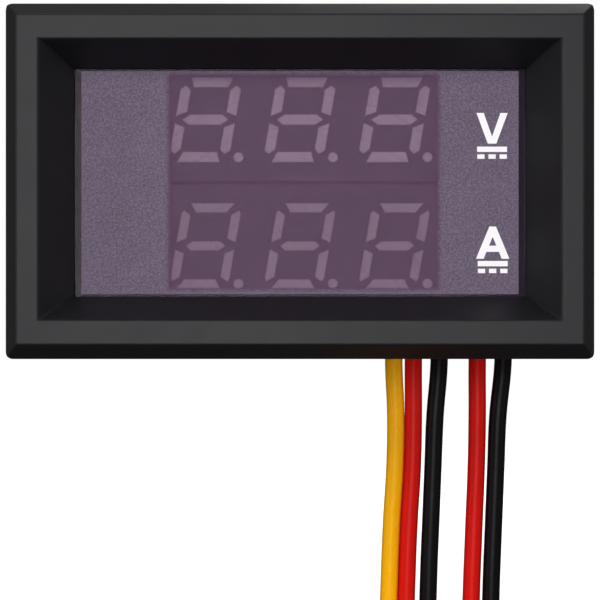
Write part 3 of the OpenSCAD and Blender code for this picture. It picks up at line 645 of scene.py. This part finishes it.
def addOutline(bm, loops, y):
    # flat outline loops in x and z, filled with their holes left open
    edges = []
    for loop in loops:
        corners = [bm.verts.new((x, y, z)) for x, z in loop]
        edges += [bm.edges.new((a, b)) for a, b in zip(corners, corners[1:] + corners[:1])]
    bmesh.ops.triangle_fill(bm, use_beauty=True, use_dissolve=True, edges=edges)


def addPlate(bm, middle, size, y, turn=90):
    # a flat rectangle that faces forward, or back when it is turned the other way
    made = bmesh.ops.create_grid(bm, x_segments=1, y_segments=1, size=0.5)
    bmesh.ops.scale(bm, vec=(size[0], size[1], 1), verts=made["verts"])
    bmesh.ops.rotate(bm, cent=(0, 0, 0), matrix=Matrix.Rotation(math.radians(turn), 3, "X"),
                     verts=made["verts"])
    bmesh.ops.translate(bm, vec=(middle[0], y, middle[1]), verts=made["verts"])
    return made["verts"][0].link_faces[0]


def thicken(bm, depth):
    # the flat print pulled forward into a thin closed layer
    made = bmesh.ops.extrude_face_region(bm, geom=bm.faces[:])
    moved = [v for v in made["geom"] if isinstance(v, bmesh.types.BMVert)]
    bmesh.ops.translate(bm, vec=(0, -depth, 0), verts=moved)


def addSteadySign(bm, x, z, y):
    # a whole bar over three dashes, for direct current
    s = signSetup
    addPlate(bm, (x, z - s["barDrop"]), (s["barWidth"], s["barHeight"]), y)
    for i in (-1, 0, 1):
        place = (x + i * s["dashStep"], z - s["dashDrop"])
        addPlate(bm, place, (s["dashWidth"], s["dashHeight"]), y)


def addVoltSign(bm, y):
    s = signSetup
    x, z = s["voltMiddle"]
    halfW, halfH = s["voltSize"][0] / 2, s["voltSize"][1] / 2
    stroke, tip = s["stroke"], s["tip"]
    addOutline(bm, [[
        (x - halfW, z + halfH), (x - tip / 2, z - halfH), (x + tip / 2, z - halfH),
        (x + halfW, z + halfH), (x + halfW - stroke, z + halfH),
        (x, z - halfH + s["voltNotch"] * tip), (x - halfW + stroke, z + halfH)]], y)
    addSteadySign(bm, x, z, y)


def addAmpSign(bm, y):
    s = signSetup
    x, z = s["ampMiddle"]
    halfW, halfH = s["ampSize"][0] / 2, s["ampSize"][1] / 2
    apex = s["ampTip"] * s["tip"] / 2
    lean = (halfW - apex) / (2 * halfH)  # how far a leg's edge moves out for each step down
    barTop, barBottom = [z - share * halfH for share in s["ampBar"]]
    atBar, atFoot = [share * s["stroke"] for share in s["slant"]]
    innerHalf = apex + lean * (z + halfH - barTop) - atBar
    footHalf = apex + lean * (z + halfH - barBottom) - atBar
    outer = [
        (x - apex, z + halfH), (x - halfW, z - halfH), (x - halfW + atFoot, z - halfH),
        (x - footHalf, barBottom), (x + footHalf, barBottom),
        (x + halfW - atFoot, z - halfH), (x + halfW, z - halfH), (x + apex, z + halfH)]
    hole = [(x - innerHalf, barTop), (x, z + s["ampHole"] * halfH), (x + innerHalf, barTop)]
    addOutline(bm, [outer, hole], y)
    addSteadySign(bm, x, z, y)


def makeSigns():
    s = signSetup
    y = s["face"] + s["ink"]
    bm = bmesh.new()
    addVoltSign(bm, y)
    addAmpSign(bm, y)
    thicken(bm, s["ink"])
    return finishMesh("unit_signs", bm, "meter", whiteInk)


whiteInk = makeFinish("white_ink", signLook)
makeSigns()
print("stage: unit signs made")


# circuit board

boardSetup = {
    "mask": (0.012, 0.075, 0.050), "copper": (0.022, 0.125, 0.085), "edge": (0.36, 0.33, 0.17),
    "weave": 0.00042, "rough": 0.34, "roughChange": 0.14, "grain": 0.0002, "mottle": 0.3,
    "depth": 0.000002, "gloss": 0.5,
    "weaveShare": 0.25,  # how much of the relief is the glass weave's
    "copperCells": 260.0, "copperEdge": (0.40, 0.43),
    "faceTurn": (0.6, 0.8),  # how squarely a face looks along y before it counts as masked
}


def makeBoardMaterial():
    # green solder mask over copper on both faces, bare glass fibre on the cut edges
    s = boardSetup
    material, tree, shader = startMaterial("board_laminate", s)
    place = objectPlace(tree)
    axes = addNode(tree, "SeparateXYZ", {0: place}).outputs
    steps = []
    for axis in (0, 2):
        turn = mathNode(tree, "MULTIPLY", axes[axis], 2 * math.pi / s["weave"])
        steps.append(mathNode(tree, "SINE", turn))
    weave = mathNode(tree, "MULTIPLY", steps[0], steps[1])
    cells = addNode(tree, "TexVoronoi", {"Vector": place, "Scale": s["copperCells"],
                                         "Randomness": 0.0}, distance="CHEBYCHEV")
    pour = ramp(tree, cells.outputs[0], *s["copperEdge"])
    face = mixColour(tree, pour, opaque(s["mask"]), opaque(s["copper"]))
    faceNormal = addNode(tree, "SeparateXYZ", {0: addNode(tree, "NewGeometry").outputs["Normal"]})
    onFace = ramp(tree, mathNode(tree, "ABSOLUTE", faceNormal.outputs[1]), *s["faceTurn"])
    colour = mixColour(tree, onFace, opaque(s["edge"]), face)
    grain = addGrain(tree, colour, s)
    woven = mathNode(tree, "MULTIPLY", weave, s["weaveShare"])
    height = mathNode(tree, "ADD", woven, grain["Height"])
    bump = addNode(tree, "Bump", {"Strength": 1.0, "Distance": s["depth"], "Height": height})
    feed(tree, shader["Base Color"], grain["Colour"])
    feed(tree, shader["Roughness"], grain["Roughness"])
    feed(tree, shader["Normal"], bump.outputs[0])
    return material


materials["circuit_board"] = makeBoardMaterial()
print("stage: board laminate made")


# printed outlines on the board's back

inkSetup = {"line": 0.00013, "thick": 0.00003, "gap": 0.0006}
packageNodes = ("controller_body", "amplifier_body", "regulator_body", "tantalum_capacitor")


def makeOutlines():
    # each a thin frame, a small gap wider than its package
    s = inkSetup
    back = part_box("circuit_board")[1].y
    bm = bmesh.new()
    for name in packageNodes:
        low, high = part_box(name)
        wide = high.x - low.x + 2 * s["gap"]
        tall = high.z - low.z + 2 * s["gap"]
        middle = ((low.x + high.x) / 2, (low.z + high.z) / 2)
        face = addPlate(bm, middle, (wide, tall), back + s["thick"], turn=-90)
        bmesh.ops.inset_region(bm, faces=[face], thickness=s["line"],
                               use_boundary=True, use_even_offset=True)
        bmesh.ops.delete(bm, geom=[face], context="FACES")
    thicken(bm, s["thick"])
    return finishMesh("board_outlines", bm, "meter", whiteInk)


makeOutlines()
print("stage: board outlines made")


# finishes onto the CAD nodes that stay in view

finishByNode = {"upper_display_guides": upperGuides, "lower_display_guides": lowerGuides}


def dressNodes():
    for name in nodes:
        node = bpy.data.objects[name]
        slotName = node.material_slots[0].material.name
        node.material_slots[0].material = finishByNode.get(name, materials.get(slotName))


dressNodes()
tie.data.materials.append(materials["tie_nylon"])
for name, lead in leads.items():
    lead.data.materials.append(materials[leadsByName[name][0]])
print("stage: nodes dressed")


# floor, world and lamps

floorSetup = {
    "drop": 0.0008, "size": 3.0,
    "near": 0.76, "far": 1.0,  # how white it shows near the meter and away from it
    "nearReach": 0.10, "farReach": 0.34,
    "seenColour": 0.26, "bounceColour": 0.04, "mirrored": 0.05,
}
worldSetup = {"seen": 1.0, "mirrored": 0.1, "ambient": 0.06}
# name, place, aim, size across and down, power in watts
lampSetup = [
    ("key", (-0.07, -0.50, 0.26), (0, 0, 0), (0.10, 0.22), 1.0),
    ("front", (-0.03, -0.62, 0.0), (0, 0, 0), (0.22, 0.22), 2.6),
    ("top", (0.0, 0.05, 0.6), (0, 0.01, 0), (0.4, 0.4), 0.9),
    ("left", (-0.55, -0.22, 0.12), (0, 0, 0), (0.25, 0.25), 0.9),
    ("right", (0.55, -0.22, 0.12), (0, 0, 0), (0.25, 0.25), 0.6),
    ("back", (0.15, 0.62, 0.25), (0, 0, -0.01), (0.3, 0.3), 2.6),
]


def makeFloor():
    s = floorSetup
    level = cadLow.z - s["drop"]
    bm = bmesh.new()
    bmesh.ops.create_grid(bm, x_segments=1, y_segments=1, size=s["size"])
    bmesh.ops.translate(bm, vec=(0, 0, level), verts=bm.verts)
    mesh = bpy.data.meshes.new("floor")
    bm.to_mesh(mesh)
    bm.free()
    floor = bpy.data.objects.new("floor", mesh)
    scene.collection.objects.link(floor)
    material, tree, shader = startMaterial("studio_floor", {"gloss": 0.0})
    rays = addNode(tree, "LightPath").outputs
    seen = mathNode(tree, "MAXIMUM", rays["Is Camera Ray"], rays["Is Transmission Ray"])
    shown = mathNode(tree, "MAXIMUM", seen,
                     mathNode(tree, "MULTIPLY", rays["Is Glossy Ray"], s["mirrored"]))
    away = addNode(tree, "VectorMath", {0: objectPlace(tree)}, operation="LENGTH").outputs[1]
    white = ramp(tree, away, s["nearReach"], s["farReach"], s["near"], s["far"])
    grey = ramp(tree, seen, 0, 1, s["bounceColour"], s["seenColour"], "LINEAR")
    feed(tree, shader["Base Color"], grey)
    feed(tree, shader["Emission Strength"], mathNode(tree, "MULTIPLY", shown, white))
    shader["Emission Color"].default_value = (1, 1, 1, 1)
    shader["Roughness"].default_value = 0.9
    mesh.materials.append(material)


def makeWorld():
    s = worldSetup
    world = bpy.data.worlds.new("studio")
    world.use_nodes = True
    tree = world.node_tree
    rays = addNode(tree, "LightPath").outputs
    seen = mathNode(tree, "MAXIMUM", rays["Is Camera Ray"], rays["Is Transmission Ray"])
    mirrored = ramp(tree, rays["Is Glossy Ray"], 0, 1, s["ambient"], s["mirrored"], "LINEAR")
    strength = mathNode(tree, "MAXIMUM", mirrored, mathNode(tree, "MULTIPLY", seen, s["seen"]))
    background = tree.nodes["Background"].inputs
    background["Color"].default_value = (1, 1, 1, 1)
    feed(tree, background["Strength"], strength)
    scene.world = world


def makeLamp(name, place, aim, size, power):
    light = bpy.data.lights.new(name, "AREA")
    light.shape = "RECTANGLE"
    light.size, light.size_y = size
    light.energy = power
    lamp = bpy.data.objects.new(name, light)
    lamp.location = place
    lamp.rotation_euler = (Vector(aim) - Vector(place)).to_track_quat("-Z", "Y").to_euler()
    scene.collection.objects.link(lamp)


makeFloor()
makeWorld()
for lamp in lampSetup:
    makeLamp(*lamp)
print("stage: studio made")


bpy.context.view_layer.update()
